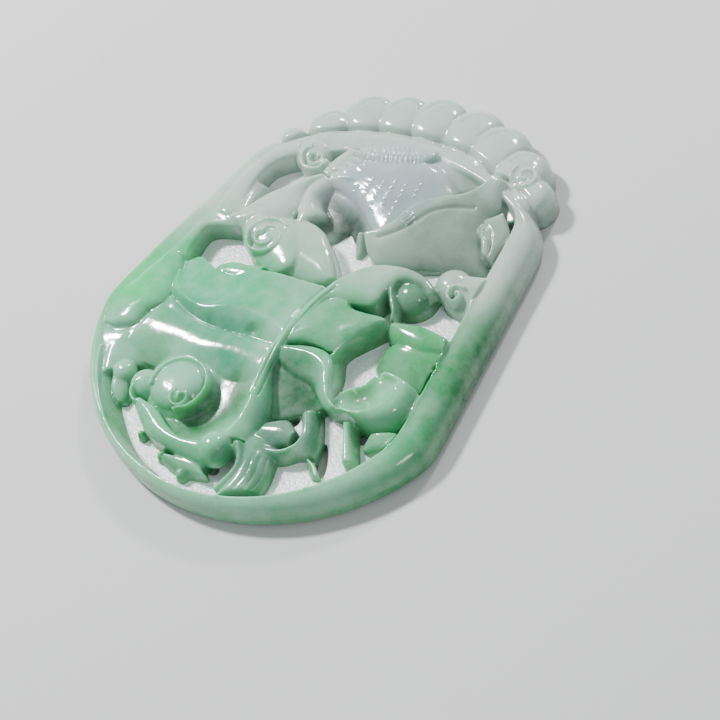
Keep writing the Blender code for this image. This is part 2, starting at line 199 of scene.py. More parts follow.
def boss(x, y, top, radius, base=FORM_BASE, fullness=2.4, read_at=None, stretch=1.0, turn=0.0):
    """Rounded boss: a ball, squared up by fullness and cut to its height.

    Its x and y are the middle of its outline as drawn, which is formed at read_at; without
    one, that height follows from how far the boss leans out of the picture.
    """
    if read_at is None:
        lean = math.hypot(*LEAN)
        drawn = math.hypot(radius, lean * (top - base))
        read_at = base + (drawn - radius) / (2 * lean)
    centre = spot(x, y, read_at)
    deselect_all()
    bpy.ops.mesh.primitive_uv_sphere_add(segments=40, ring_count=24, radius=1.0)
    thing = bpy.context.object
    count = len(thing.data.vertices)
    points = np.empty(count * 3)
    thing.data.vertices.foreach_get("co", points)
    points = points.reshape(-1, 3)
    level = np.clip(np.abs(points[:, 2]), 0.0, 1.0)
    round_reach = np.sqrt(np.maximum(1 - level ** 2, 1e-9))
    full_reach = (1 - level ** fullness) ** (1 / fullness)
    flat = points[:, :2] * (full_reach / round_reach)[:, None] * radius
    flat[:, 0] *= stretch
    turned = np.c_[flat[:, 0] * math.cos(turn) - flat[:, 1] * math.sin(turn),
                   flat[:, 0] * math.sin(turn) + flat[:, 1] * math.cos(turn)]
    z = base + (top - base) * points[:, 2]
    z = np.where(points[:, 2] < 0, base + SUNK_UNDERSIDE * points[:, 2], z)
    placed = np.c_[turned[:, 0] + centre[0], turned[:, 1] + centre[1], z]
    thing.data.vertices.foreach_set("co", (placed * MM).ravel())
    return keep_form(thing)


def curl(x, y, height, radius, turns, width, start=0.0, base=FORM_BASE, wind=0.8, drop=0.3):
    """Spiral scroll that winds in towards its eye; negative turns go clockwise."""
    steps = max(int(abs(turns) * 12), 8)
    stations = []
    for k in range(steps + 1):
        share = k / steps
        angle = start + turns * 2 * math.pi * share
        reach = radius * (1.0 - wind * share)
        stations.append((x + reach * math.cos(angle), y + reach * math.sin(angle),
                         height, width * (1.0 - 0.4 * share)))
    return stroke(stations, base=base, drop=drop, count=steps * 3, across=8)


def arc_between(a, b, sag, count):
    """Points of the arc from a to b that bulges by sag to the right of that line."""
    a = np.array(a, float)
    b = np.array(b, float)
    half = np.linalg.norm(b - a) / 2
    along = (b - a) / (2 * half)
    out = np.array([along[1], -along[0]])
    radius = (half ** 2 + sag ** 2) / (2 * sag)
    run = []
    for s in np.linspace(-half, half, count, endpoint=False):
        rise = math.sqrt(radius ** 2 - s ** 2) - (radius - sag)
        run.append((a + b) / 2 + along * s + out * rise)
    return run


def straight_between(a, b, count):
    a = np.array(a, float)
    b = np.array(b, float)
    return [a + (b - a) * k / count for k in range(count)]


def outline(corners, bottom_sag, top_sag):
    """Closed outline with bulging ends; its corners run anticlockwise from the lower left."""
    low_left, low_right, high_right, high_left = corners
    per_side = PLATE_SIDES // 4
    points = arc_between(low_left, low_right, bottom_sag, per_side)
    points += straight_between(low_right, high_right, per_side)
    points += arc_between(high_right, high_left, top_sag, per_side)
    points += straight_between(high_left, low_left, per_side)
    points = np.array(points)
    closed = np.vstack([points, points[:1]])
    reach = np.r_[0, np.cumsum(np.linalg.norm(np.diff(closed, axis=0), axis=1))]
    even = np.linspace(0.0, reach[-1], len(points) * 2, endpoint=False)
    points = np.c_[np.interp(even, reach, closed[:, 0]), np.interp(even, reach, closed[:, 1])]
    for _ in range(int((CORNER_ROUNDING / (reach[-1] / len(points))) ** 2)):
        points = (np.roll(points, 1, 0) + 2 * points + np.roll(points, -1, 0)) / 4
    return points[::2] - np.array(MIDDLE)


def inner_outline():
    return outline((INNER_LOWER_LEFT, INNER_LOWER_RIGHT, INNER_UPPER_RIGHT, INNER_UPPER_LEFT),
                   INNER_BOTTOM_SAG, INNER_TOP_SAG)


def plate():
    """Stone plate: its outline filled, then drawn up ring by ring into rim, wall and floor."""
    outer = outline((LOWER_LEFT, LOWER_RIGHT, UPPER_RIGHT, UPPER_LEFT), BOTTOM_SAG, TOP_SAG)
    inner = inner_outline()
    across = inner - outer
    reach = np.linalg.norm(across, axis=1)[:, None]
    inwards = across / reach
    flat = np.zeros(len(outer))
    facing = -(inwards @ np.array(LEAN)) / math.hypot(*LEAN)
    roll_high = RIM_ROLL + ROLL_SWING * facing[:, None]
    roll = np.minimum(roll_high, reach * 0.85)
    rings = []
    for angle in np.linspace(0.0, math.pi / 2, 7):
        step = BACK_ROLL * (1 - math.sin(angle))
        rings.append((outer + inwards * step, flat + BACK_ROLL * (1 - math.cos(angle))))
    for angle in np.linspace(0.0, math.pi / 2, 14):
        rings.append((outer + inwards * roll * (1 - math.cos(angle)),
                      RIM_HEIGHT - roll_high[:, 0] * (1 - math.sin(angle))))
    rings.append((inner, flat + RIM_HEIGHT - RIM_EDGE_DROP))
    rings.append((inner + inwards * WALL_LEAN, flat + FLOOR_HEIGHT))
    deselect_all()
    bpy.ops.mesh.primitive_circle_add(vertices=len(outer), radius=1.0, fill_type='NGON')
    thing = bpy.context.object
    bpy.ops.object.mode_set(mode='EDIT')
    bpy.ops.mesh.select_all(action='SELECT')
    for number, (ring, z) in enumerate(rings):
        if number:
            bpy.ops.mesh.extrude_region_move(TRANSFORM_OT_translate={"value": (0, 0, 0)})
        work = bmesh.from_edit_mesh(thing.data)
        face = [f for f in work.faces if f.select and len(f.verts) > 4][0]
        for v, place, level in zip(face.verts, ring, z):
            v.co = (place[0] * MM, place[1] * MM, level * MM)
        bmesh.update_edit_mesh(thing.data)
    bpy.ops.mesh.select_all(action='SELECT')
    bpy.ops.mesh.normals_make_consistent(inside=False)
    bpy.ops.object.mode_set(mode='OBJECT')
    return thing


def pierce(thing):
    """Piercings that go right through: middle, half length, half width and turn."""
    holes = ((5.0, -13.9, 1.1, .8, -.9), (14.1, -12.7, 1.1, .9, .4),
             (11.3, -17.2, 2.5, .7, -1.04), (-.3, -23.3, 1.3, .7, -.3))
    for x, y, length, width, turn in holes:
        deselect_all()
        bpy.ops.mesh.primitive_cylinder_add(vertices=24, radius=MM, depth=6 * MM,
                                            location=((x - MIDDLE[0]) * MM,
                                                      (y - MIDDLE[1]) * MM, 0),
                                            rotation=(0, 0, turn))
        cutter = bpy.context.object
        cutter.scale = (length, width, 1)
        bpy.ops.object.transform_apply(location=False, rotation=True, scale=True)
        deselect_all()
        thing.select_set(True)
        bpy.context.view_layer.objects.active = thing
        bpy.ops.object.modifier_add(type='BOOLEAN')
        step = thing.modifiers[-1]
        step.operation = 'DIFFERENCE'
        step.object = cutter
        bpy.ops.object.modifier_apply(modifier=step.name)
        bpy.data.objects.remove(cutter, do_unlink=True)


def crest():
    """Scalloped cloud lobes outside the top of the rim, with a curl in the last large one."""
    for x, y, radius in CREST_LOBES:
        boss(x, y, CREST_HEIGHT, radius, base=0.0, fullness=3.3, read_at=CREST_OUTLINE)
    stroke([(-15.4, 20.5, 3.5, 1.0), (-12, 23.7, 3.6, 1.8), (-8, 25.8, 3.6, 2.0),
            (-3, 27.0, 3.6, 2.1), (3, 27.2, 3.6, 2.1), (8, 26.2, 3.6, 2.1),
            (12.4, 24.2, 3.6, 2.0), (16.4, 21.8, 3.6, 1.6)], base=0.2, drop=0.1, count=40)
    curl(14.0, 24.4, CREST_HEIGHT + 0.3, 2.0, 1.4, 0.5, start=2.6)


def left_band():
    """Inner strip of the rim with its hooked end, and the ledge that joins it to the leaf."""
    leaf([(-15.8, 19.0, 4.0), (-18.2, 16.8, 4.1), (-19.7, 13.0, 4.2), (-20.1, 9.5, 4.3),
          (-20.0, 6.8, 4.4), (-19.3, 5.8, 4.4)],
         [(-14.8, 17.2, 4.0), (-16.9, 15.0, 4.0), (-17.6, 12.0, 4.1), (-17.2, 9.0, 4.3),
          (-16.5, 7.0, 4.4), (-17.4, 5.8, 4.4)], crown=0.2)
    leaf([(-17.8, 11.6, 3.9), (-17.6, 9.0, 4.0), (-17.2, 6.6, 4.2)],
         [(-14.9, 11.2, 2.2), (-15.6, 9.2, 3.4), (-15.8, 7.0, 4.2)])
    leaf([(-20.4, 6.4, 3.9), (-20.8, 3.0, 3.9), (-21.2, 0.0, 3.9), (-21.8, -3.0, 3.9)],
         [(-14.6, 5.0, 4.1), (-18.8, 3.4, 3.9), (-19.2, 0.8, 3.9), (-18.6, -2.4, 3.9)])
    leaf([(-19.6, 6.2, 4.0), (-17.4, 6.2, 4.1), (-14.6, 6.6, 4.2), (-12.6, 6.4, 4.3)],
         [(-18.8, 4.6, 4.0), (-16.6, 4.8, 4.1), (-14.2, 4.7, 4.2), (-12.2, 3.9, 4.3)])


def upper_left():
    """Curl, pale leaf, the body beside it, the smooth field and the dark hollow below it."""
    leaf([(-17.4, 5.9, 4.4), (-16.4, 7.6, 4.6), (-15.7, 9.0, 4.7), (-14.8, 10.6, 4.8),
          (-14.1, 11.4, 4.8), (-12.6, 13.0, 4.8), (-11.5, 14.2, 4.8), (-9.8, 15.4, 4.7)],
         [(-14.5, 5.0, 4.1), (-12.0, 6.4, 4.2), (-10.0, 8.2, 4.4), (-9.6, 10.0, 4.6),
          (-10.1, 12.2, 4.6), (-10.0, 13.6, 4.6), (-9.0, 15.2, 4.6)], crown=0.45)
    leaf([(-9.8, 15.6, 4.6), (-10.3, 13.0, 4.7), (-9.9, 11.0, 4.7), (-9.3, 9.2, 4.6),
          (-8.6, 8.0, 4.4)],
         [(-6.9, 14.3, 3.8), (-7.1, 12.2, 3.4), (-6.6, 11.2, 3.3), (-5.0, 9.9, 3.1),
          (-6.0, 8.6, 3.0)], crown=0.25, fall=3.0)
    leaf([(-8.8, 16.0, 4.5), (-6.6, 18.6, 4.7), (-3.0, 20.4, 4.8), (1.0, 21.6, 4.8),
          (3.4, 21.6, 4.4), (6.0, 20.4, 3.7), (8.0, 19.4, 3.2)],
         [(-7.6, 14.3, 4.1), (-5.0, 14.0, 4.1), (-3.0, 13.2, 4.1), (-1.0, 12.0, 4.0),
          (0.4, 11.0, 3.9), (2.4, 10.4, 3.9), (5.0, 12.0, 3.6)], crown=0.5)
    leaf([(1.6, 24.2, 3.9), (5.0, 24.8, 3.8), (8.5, 24.0, 3.6), (10.8, 23.0, 3.5)],
         [(2.0, 21.2, 4.5), (4.4, 20.2, 4.0), (7.0, 19.2, 3.0), (9.8, 19.8, 2.6)], crown=-0.25)
    leaf([(-7.4, 14.2, 3.8), (-5.0, 14.0, 3.9), (-3.0, 13.2, 3.9), (-1.0, 12.0, 3.8),
          (0.4, 10.9, 3.6), (1.4, 10.0, 3.4)],
         [(-6.6, 8.2, 2.6), (-4.6, 7.4, 2.2), (-2.6, 6.6, 1.6), (-1.4, 8.5, 1.4),
          (-0.4, 7.8, 1.3), (1.2, 6.6, 1.3)], crown=-0.45)
    stroke([(-0.2, 9.8, 3.2, .8), (1.0, 7.8, 2.4, .7), (1.6, 6.5, 1.9, .4)])
    boss(-12.5, 17.9, 4.3, 2.6, base=2.4)
    curl(-12.3, 17.8, 4.7, 2.3, 0.62, 0.5, start=2.4, wind=0.25)
    curl(-12.3, 17.6, 4.8, 1.2, 0.9, 0.35, start=2.6, wind=0.5)
    boss(-10.3, 16.9, 4.8, .7, base=3.6)
    leaf([(-9.0, 17.4, 4.1), (-7.2, 20.6, 4.2)], [(-6.0, 16.4, 4.4), (-3.4, 19.6, 4.6)],
         crown=0.1)
    stroke([(-9.6, 15.8, 4.3, .9), (-8.8, 18.2, 4.4, 1.3), (-8.2, 20.4, 4.4, .9)], drop=0.15)


def comb():
    """Lens-shaped comb with its ribs, and the finger ridges at its left end."""
    spine = [(-7.6, 20.4, 4.6, .6), (-5.6, 20.8, 4.9, 1.1), (-3.2, 21.3, 5.0, 1.35),
             (-.8, 22.0, 5.0, 1.25), (.9, 22.7, 4.8, .9), (2.2, 23.3, 4.5, .4)]
    stroke(spine, drop=0.12, base=2.0)
    ribs = 18
    for x, y, z, half in smooth_run(spine, ribs + 3)[2:-1]:
        stroke([(x - .5 * half, y + 1.0 * half, z - .05, .12), (x, y, z + .22, .15),
                (x + .5 * half, y - 1.0 * half, z - .05, .12)], drop=0.1, count=8, across=4,
               base=2.0)
    fingers = ((-8.3, 20.3, -5.9, 19.6, .36), (-8.0, 19.3, -4.9, 18.5, .38),
               (-8.2, 18.2, -3.6, 17.5, .42), (-9.0, 17.1, -6.0, 17.0, .34),
               (-8.4, 15.8, -4.4, 16.6, .34))
    for x, y, far_x, far_y, half in fingers:
        stroke([(x, y, 4.7, .2), ((x + far_x) / 2, (y + far_y) / 2 + .1, 5.1, half),
                (far_x, far_y, 4.8, .16)], drop=0.25, count=14, across=8, base=2.0)


def snail():
    """Snail-like scroll, its body swelling to the right in two layers, and the bump below."""
    leaf([(-9.6, 8.5, 4.3), (-7.0, 8.8, 4.5), (-4.5, 8.1, 4.5), (-3.0, 7.0, 4.4),
          (-1.8, 6.0, 4.3), (0.3, 3.8, 4.0), (1.0, 2.9, 3.8)],
         [(-10.0, 0.6, 3.7), (-7.0, 0.6, 3.7), (-4.0, 0.9, 3.6), (-1.6, 1.0, 3.5),
          (0.2, 1.2, 3.3)], crown=0.75)
    leaf([(-10.8, 8.0, 4.7), (-9.4, 8.4, 4.9), (-8.0, 7.2, 5.0), (-6.6, 5.6, 4.9),
          (-5.3, 3.6, 4.7), (-5.0, 2.3, 4.4)],
         [(-11.8, 2.2, 4.2), (-10.2, 1.4, 4.2), (-8.4, 0.9, 4.2), (-7.0, 0.7, 4.2),
          (-5.8, 1.0, 4.1)], crown=0.45)
    boss(-11.0, 4.8, 5.1, 2.9, fullness=2.6, base=2.0)
    stroke([(-14.6, 5.2, 4.3, 1.0), (-13.2, 4.9, 4.6, 1.5), (-11.6, 4.8, 4.8, 1.8)])
    curl(-11.2, 4.9, 5.35, 2.9, 2.1, 0.42, start=0.9)
    boss(-11.5, 5.2, 5.4, .6, base=4.2)
    leaf([(-14.0, -1.0, 3.8), (-12.6, .2, 4.2), (-10.6, .5, 4.3), (-8.6, 1.0, 4.3)],
         [(-13.6, -2.2, 4.0), (-11, -2.0, 4.2), (-8.2, -.8, 4.3)], crown=0.3)


def left_leaves():
    """Two long ridged leaves, the smooth slope, and the green lobe on the left corner."""
    ridge = [(-18.2, -3.5, 4.5), (-17, -5.2, 4.9), (-15, -6.2, 5.2), (-12, -6.4, 5.4),
             (-9.5, -4.9, 5.5), (-7, -3.8, 5.4), (-4.5, -3.4, 5.3), (.5, -3.6, 5.0)]
    leaf([(-18.6, -2.4, 4.0), (-17, -.8, 4.1), (-15.3, -1.2, 4.2), (-13, -1.9, 4.4),
          (-11, -1.6, 4.5), (-9, .2, 4.6), (-6.5, .8, 4.6), (-4, 1.0, 4.5), (1.2, 1.4, 4.3)],
         ridge, crown=-0.3, shoulder=0.0)
    leaf(ridge, [(-17.6, -5.6, 4.3), (-16.8, -6.9, 4.2), (-14, -8.1, 4.1), (-11, -8.9, 4.1),
                 (-8, -8.9, 4.1), (-5.4, -8.5, 4.1), (.6, -8.3, 4.2)],
         crown=0.3, shoulder=0.0, fall=1.8)
    second = [(-17.0, -8.2, 4.1), (-15.4, -8.8, 4.3), (-13, -9.3, 4.5), (-10, -9.8, 4.6),
              (-7, -9.7, 4.7), (-3.5, -9.2, 4.7), (.6, -8.8, 4.5)]
    leaf([(-17.8, -6.6, 3.8), (-14, -7.8, 3.7), (-10.5, -8.6, 3.7), (-7, -8.6, 3.8),
          (-3, -8.2, 3.9), (.8, -7.8, 4.0)], second, shoulder=0.0)
    leaf(second, [(-18.0, -14.8, 3.6), (-15.4, -16.3, 2.9), (-12, -16.5, 2.6), (-8, -16, 2.8),
                  (-4, -15.7, 2.6), (1.0, -15.7, 2.8)], crown=0.6, shoulder=0.0)
    leaf([(-7.0, -13.0, 3.9), (-5.2, -16, 3.3), (-4.8, -19, 3.0), (-6.0, -20.6, 2.9),
          (-9.0, -20.4, 3.2), (-10.0, -21.4, 3.2)],
         [(.6, -12.6, 4.2), (1.6, -16, 4.0), (1.6, -18.8, 3.8), (.4, -21.6, 3.7),
          (-3.0, -23.6, 3.7), (-6.4, -24.0, 3.5)], crown=-0.5)
    leaf([(-17.0, -7.0, 4.2), (-18.5, -9.6, 4.0), (-19.2, -12.6, 3.9), (-20.6, -14.6, 3.9),
          (-19.8, -17, 3.8), (-18.4, -19.4, 3.6)],
         [(-14.8, -8.4, 4.2), (-14.6, -11, 3.9), (-13.6, -13.5, 3.3), (-12.4, -15.5, 2.5),
          (-13.4, -16.9, 2.2), (-14.8, -17.4, 2.2)], crown=0.2)
    leaf([(-23.6, -13.0, 3.4), (-22.9, -14.8, 3.7), (-21.4, -17.2, 3.7)],
         [(-18.4, -12.6, 3.9), (-18.2, -14.8, 3.8), (-17.4, -17.6, 3.0)], crown=0.1)
    leaf([(-21.4, -1.5, 3.6), (-22.7, -4.5, 3.2), (-23.9, -7.5, 2.9), (-25.0, -9.2, 2.6),
          (-24.9, -11, 2.5), (-24.2, -12.8, 2.5), (-22.9, -14.1, 2.6)],
         [(-18.8, -1.6, 4.1), (-18.0, -3.6, 4.4), (-17.4, -6.0, 4.6), (-17.8, -8.2, 4.8),
          (-18.9, -9.8, 4.8), (-19.2, -12, 4.6), (-20.6, -13.6, 4.1)], crown=1.0)
    leaf([(-21.6, -15.4, 3.8), (-19.6, -19, 3.8), (-16.8, -22.4, 3.8), (-13.2, -25.4, 3.7),
          (-9.2, -27.5, 3.7), (-4.8, -28.6, 3.6)],
         [(-17.4, -17, 2.4), (-15.8, -20.6, 1.8), (-12.8, -23.0, 1.2), (-9.2, -26.0, 1.2),
          (-6, -27.9, 1.2), (-2.6, -28.8, 1.2)], crown=0.1)


def fungus_scroll():
    """Large scrolled head at the lower left, its lobes, its body and the pegs below."""
    boss(-7.0, -17.5, 4.3, 5.0, fullness=2.6, base=1.8)
    boss(-8.4, -16.9, 5.1, 3.9, fullness=3.6, read_at=4.2)
    curl(-8.4, -16.9, 5.35, 3.6, -0.74, 0.34, start=3.5, wind=0.05)
    curl(-7.1, -18.3, 5.35, 1.4, 1.3, 0.3, start=2.5)
    boss(-11.7, -19.1, 4.8, 2.0, base=2.6)
    curl(-11.8, -19.2, 4.9, 1.8, -0.6, 0.24, start=-1.7, wind=0.05)
    boss(-4.0, -18.4, 4.1, 1.4, base=2.6)
    leaf([(-11.0, -20.6, 4.3), (-8.8, -20.9, 4.4), (-6, -22.2, 4.5), (-3.4, -22.8, 4.6),
          (-.2, -22.0, 4.8)],
         [(-12.0, -21.4, 3.8), (-10.4, -22.6, 3.9), (-8.7, -23.8, 3.9), (-7, -24.5, 3.9),
          (-3, -24.8, 3.9), (.8, -24.8, 3.9)], crown=0.5)
    boss(-15.6, -18.6, 3.9, 1.5, base=2.4)
    leaf([(-17.1, -19.0, 3.3), (-16.0, -21.0, 3.1), (-14.0, -22.4, 2.6)],
         [(-14.4, -19.4, 2.6), (-13.2, -20.8, 2.2), (-12.2, -22.4, 1.5)], crown=0.3)
    for x, y, radius in ((-7.6, -25.4, .6), (-3.5, -26.7, .7), (.2, -27.8, .8)):
        boss(x, y, 2.8, radius)
    leaf([(-3.8, -25.7, 3.0), (-1.4, -25.2, 3.2), (.8, -25.2, 3.2), (2.2, -26.0, 3.0),
          (3.6, -26.0, 2.8)],
         [(-3.4, -27.2, 1.6), (-.4, -28.0, 1.4), (1.2, -27.6, 1.4), (3.4, -26.8, 1.6)],
         crown=0.3, fall=2.0)


def long_stem():
    """Stem from the lower knob up the middle, the cap over the bulb, and the bulb."""
    leaf([(-1.0, -4.0, 5.0), (-.9, -7.0, 5.0), (-.75, -10, 4.9), (0, -13, 4.8),
          (.9, -16, 4.7), (1.1, -18.5, 4.6), (.5, -21, 4.5)],
         [(.5, -4.0, 4.7), (.6, -7.0, 4.6), (1.0, -10, 4.2), (2.1, -12.5, 3.8),
          (3.8, -15, 3.4), (4.6, -17.6, 3.2), (4.8, -20.4, 3.2)],
         crown=0.45, base=1.6, count=60)
    stroke([(-.2, -4.6, 5.1, .72), (.25, -1.0, 5.2, .75), (1.1, 1.8, 5.1, .8),
            (2.3, 3.8, 5.0, .8), (4.0, 5.6, 4.9, .75), (6.0, 6.5, 4.9, .7),
            (8.6, 6.9, 4.8, .65), (11.0, 6.4, 4.7, .6), (12.8, 5.2, 4.5, .5)],
           base=2.6, count=70, drop=0.25)
    leaf([(.9, 2.4, 4.7), (2.2, 4.4, 4.7), (3.8, 5.9, 4.7), (5.6, 6.8, 4.7),
          (7.6, 7.3, 4.7), (9.6, 7.3, 4.6), (11.6, 6.8, 4.5), (13.2, 5.8, 4.3)],
         [(2.0, -.2, 4.5), (3.8, .4, 4.6), (5.6, .8, 4.6), (7.2, 1.6, 4.6),
          (7.8, 3.8, 4.7), (8.6, 5.2, 4.6), (10.4, 5.6, 4.4), (12.4, 5.2, 4.2)],
         crown=0.4, count=40)
    stroke([(8.8, 6.6, 4.9, .4), (7.9, 5.4, 4.95, .5), (8.0, 4.0, 4.85, .55),
            (8.9, 2.8, 4.7, .55), (9.9, 1.6, 4.5, .45), (10.3, .5, 4.2, .3)], base=1.6)
    boss(12.0, 3.6, 4.5, 2.75, fullness=2.3, base=1.0)
    boss(1.6, -22.8, 5.6, 2.1, base=2.8)
    stroke([(2.8, -20.6, 4.8, .9), (4.2, -21.8, 4.6, .8), (4.9, -23.4, 4.3, .8),
            (4.7, -25.4, 3.9, .75), (4.2, -27.0, 3.5, .6)], base=1.0)
    leaf([(3.4, -19.4, 2.8), (4.6, -22, 3.8), (5.2, -24.6, 3.7), (5.0, -27.4, 3.4)],
         [(8.0, -19.6, 2.8), (9.0, -22.2, 2.6), (9.8, -24.4, 2.2), (9.6, -25.4, 2.4)],
         crown=0.5, fall=2.0)


def centre_petals():
    """Leaf, saddle petal and cup petal to the right of the stem, and the bars above them."""
    leaf([(0, -6.9, 4.3), (-.1, -4.5, 4.6), (.4, -2.2, 4.7), (1.4, -.2, 4.7),
          (3.2, 1.0, 4.6), (5, .1, 4.6), (7, .1, 4.7), (9, .3, 4.6), (10, .1, 4.5)],
         [(1, -7.1, 4.2), (3, -6.2, 4.3), (4.6, -6.0, 4.4), (5.8, -6.1, 4.4),
          (6.6, -5.6, 4.5), (7.2, -4.4, 4.6), (8, -3, 4.7), (9, -1.6, 4.7), (10.2, -.4, 4.5)],
         crown=0.5)
    leaf([(10.1, -.1, 4.5), (9.0, -1.7, 4.7), (8.0, -3.1, 4.7), (7.0, -4.8, 4.6),
          (6.4, -6.4, 4.4)],
         [(11.6, -1.7, 2.4), (11.3, -2.6, 1.8), (10.2, -4.6, 1.4), (9.3, -7.1, 1.3),
          (9.9, -9.0, 1.4)], fall=1.7, crown=0.1)
    leaf([(7.9, -7.6, 4.0), (8.8, -9.6, 4.0), (10.0, -11.4, 4.0)],
         [(9.3, -7.4, 1.4), (10.3, -9.4, 1.6), (10.5, -12, 2.6)])
    leaf([(.2, -7.7, 4.4), (3, -6.5, 4.7), (5.4, -6.2, 4.9), (7.1, -7, 5.0),
          (8.0, -8.6, 5.0), (8.8, -10.0, 4.8), (9.9, -11.5, 4.6), (11.4, -12.3, 4.4)],
         [(.8, -9.6, 4.0), (3, -10.3, 3.9), (4.6, -10.7, 3.8), (6.4, -10.8, 3.8),
          (7.8, -11.6, 3.8), (9.4, -12.7, 3.8), (10.8, -13.2, 3.7)],
         crown=0.3, ridge=0.3, ridge_at=0.3, base=1.6)
    leaf([(.6, -9.6, 3.9), (4.4, -10.7, 3.6), (6.6, -10.8, 3.5), (8.2, -11.8, 3.4),
          (9.9, -13.0, 3.3)],
         [(3.4, -15.6, 2.6), (5.2, -16.8, 2.0), (6.4, -16.4, 1.9), (7.4, -15.7, 1.9),
          (8.3, -14.9, 2.0)], crown=-0.3)
    lip = [(13.4, -6.5, 4.2), (15.6, -6.5, 4.7), (16.4, -8.2, 4.8), (15.7, -10.4, 4.8),
           (14.0, -11.9, 4.7), (11.6, -12.3, 4.5), (10.4, -12.5, 4.3)]
    leaf([(13.2, -6.7, 4.0), (12.4, -8, 3.5), (11.3, -9.1, 3.3), (10.6, -10.5, 3.4),
          (10.2, -12.3, 4.1)], lip, crown=-0.7, shoulder=0.0)
    leaf(lip, [(14.8, -6.0, 4.3), (17.4, -6.3, 4.1), (19.5, -7.5, 3.5), (19.9, -11, 3.0),
               (18.9, -13.2, 2.4), (17.2, -14.1, 2.0), (14, -13.5, 2.4), (10.6, -13.1, 3.3)],
         crown=0.5, shoulder=0.0, fall=1.4)
    leaf([(11.2, .3, 4.2), (12.6, .6, 4.4), (14.5, 1.0, 4.5), (18.0, .7, 4.3)],
         [(11.6, -2.2, 2.4), (13.0, -2.4, 3.6), (16, -2.2, 4.2), (18.8, -1.4, 4.1)],
         crown=0.35, fall=2.0)
    leaf([(13.2, -2.2, 3.8), (15, -1.6, 4.2), (18.8, -1.2, 4.1)],
         [(12.5, -4.8, 1.6), (12.9, -6.5, 1.6), (15, -7.0, 2.2), (19.4, -7.0, 2.4)],
         crown=0.3, fall=1.4)


def pod():
    """Large pod at the upper right, hung from the rim by its neck, and the clouds beside it."""
    leaf([(10.3, 23.6, 4.3), (10.1, 21.8, 4.7), (9.3, 20.2, 4.9), (8.2, 19.2, 5.0),
          (6.0, 18.0, 5.2), (4.1, 16.6, 5.3), (3.1, 15, 5.2), (2.7, 13.2, 5.1),
          (2.0, 11.5, 4.9), (.5, 9.8, 4.6)],
         [(12.4, 23.4, 4.1), (12.7, 21.2, 4.2), (13.8, 19.0, 3.8), (13.6, 16.4, 3.6),
          (15.0, 13.4, 3.0), (16.8, 11.6, 2.2), (17.4, 9.6, 1.8), (12.6, 8.6, 2.2),
          (8, 7.2, 2.8), (4.4, 6.4, 3.2), (2.4, 7.4, 3.2)],
         crown=0.5, ridge=0.3, ridge_at=0.16, ridge_width=0.2, count=50, across=24, fall=1.6)
    stroke([(13.4, 21.6, 3.0, 1.2), (15.4, 19.8, 2.8, 1.6), (16.6, 18, 2.6, .8)], drop=.1)
    leaf([(14.6, 18.4, 3.9), (13.2, 17.0, 4.1), (13.0, 15.2, 4.2), (14.2, 14.0, 4.2),
          (15.2, 12.6, 3.9)],
         [(15.0, 18.2, 3.7), (16.4, 16.8, 3.7), (16.9, 15.2, 3.6), (17.0, 13.6, 3.4),
          (17.2, 11.8, 3.0)], crown=0.3)
    boss(15.2, 6.9, 4.7, 2.3, base=2.4)
    leaf([(13.6, 8.6, 4.2), (15.2, 9.1, 4.2), (17.8, 9.8, 4.0)],
         [(14.4, 5.0, 3.2), (16.0, 4.1, 2.8), (18.6, 4.0, 3.0)], crown=0.5, fall=2.0)
    curl(15.3, 6.4, 4.9, 1.3, 1.2, 0.34, start=1.0)


def rockwork():
    """Open blocks and bars of rockwork at the lower right."""
    leaf([(8.1, -14.8, 3.6), (9.5, -17, 3.6), (9.4, -19.8, 3.2)],
         [(10.4, -13.9, 2.2), (12.6, -17, 1.8), (13.2, -19.3, 1.8)], crown=0.5, fall=2.4)
    stroke([(9.8, -17.0, 4.0, .45), (9.6, -18.4, 3.9, .5), (8.4, -19.8, 3.7, .6),
            (6.0, -20.4, 3.5, .8)], base=1.0)
    leaf([(5.2, -17.0, 3.4), (7, -16.0, 3.6), (8.8, -16.8, 3.5)],
         [(4.8, -20.2, 2.8), (7, -20.0, 3.0), (9.0, -18.8, 3.2)], crown=0.4, fall=2.0)
    leaf([(13.2, -13.8, 3.4), (14.6, -16.0, 3.4), (16.0, -18.2, 3.3)],
         [(15.3, -13.8, 2.2), (16.6, -15.8, 2.2), (17.9, -17.8, 2.6)], crown=0.4, fall=2.4)
    leaf([(16.9, -13.8, 3.2), (17.1, -15.2, 2.6), (17.4, -16.0, 2.2)],
         [(19.9, -12.4, 3.2), (20.0, -14.2, 3.0), (18.6, -16.2, 2.0)], crown=0.3)
    leaf([(12.2, -19.4, 2.6), (13.4, -19.8, 2.6), (14.6, -20.8, 2.6)],
         [(12.6, -20.2, 1.6), (13.4, -21.0, 1.6), (14.2, -21.6, 1.8)], crown=0.3)


def join_forms(body):
    deselect_all()
    for form in forms:
        form.select_set(True)
    body.select_set(True)
    bpy.context.view_layer.objects.active = body
    bpy.ops.object.join()
    body.name = "jade_carving"
    return body


def finish_step(thing, kind, **values):
    """One modifier, set and applied."""
    bpy.ops.object.modifier_add(type=kind)
    step = thing.modifiers[-1]
    for name, value in values.items():
        setattr(step, name, value)
    bpy.ops.object.modifier_apply(modifier=step.name)


def read_points(thing):
    points = np.empty(len(thing.data.vertices) * 3)
    thing.data.vertices.foreach_get("co", points)
    return points.reshape(-1, 3) / MM


def write_points(thing, points):
    thing.data.vertices.foreach_set("co", (points * MM).ravel())
    thing.data.update()


